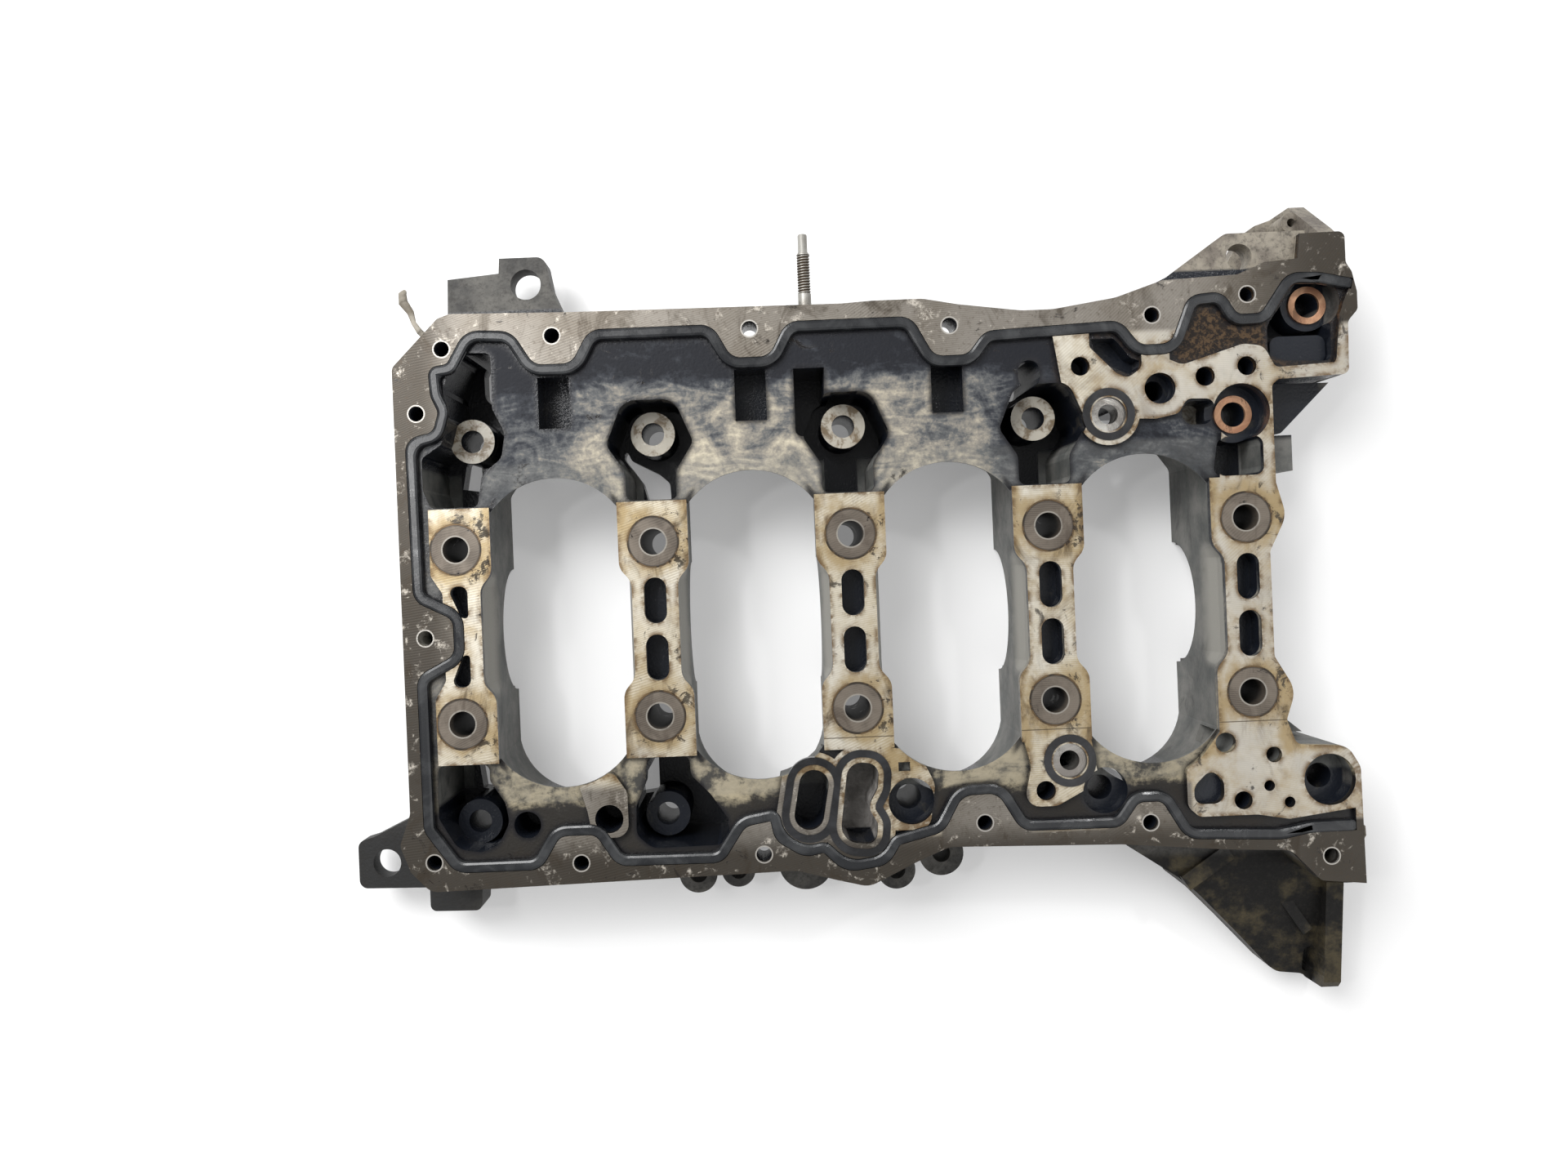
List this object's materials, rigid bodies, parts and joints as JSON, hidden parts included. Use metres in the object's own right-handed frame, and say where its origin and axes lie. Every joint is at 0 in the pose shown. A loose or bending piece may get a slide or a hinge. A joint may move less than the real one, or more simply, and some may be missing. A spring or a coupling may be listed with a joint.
{
  "type": "engine crankcase ladder frame",
  "caption": "Die-cast aluminium bedplate that closes an inline engine's crankcase, with bearing webs, iron bearing inserts, crank windows and a flange for the oil pan.",
  "frame": {"origin": "on the crankshaft axis in the middle of the centre main bearing, in the plane of the block joint face", "axes": "+X along the crankshaft towards the gearbox end, +Y across to the side of the bracket stud, +Z from the block joint face to the sump face"},
  "size_m": [0.465, 0.3714, 0.0607],
  "materials": {
    "casting": "as cast, faces milled, oil stained",
    "iron": "milled",
    "sealant": "satin",
    "seal_rubber": "satin",
    "steel": "turned",
    "copper": "dull"
  },
  "bodies": {
    "root": {"ladder_frame": "casting", "main_bearing_insert_1": "iron", "main_bearing_insert_2": "iron", "main_bearing_insert_3": "iron", "main_bearing_insert_4": "iron", "main_bearing_insert_5": "iron", "sump_seal_bead": "sealant", "oil_port_seal": "seal_rubber", "gallery_ring_seal_1": "seal_rubber", "gallery_ring_seal_2": "seal_rubber", "gallery_sleeve_1": "steel", "gallery_sleeve_2": "steel", "seat_washer_1": "copper", "seat_washer_2": "copper", "bracket_stud": "steel"}
  },
  "joints": []
}
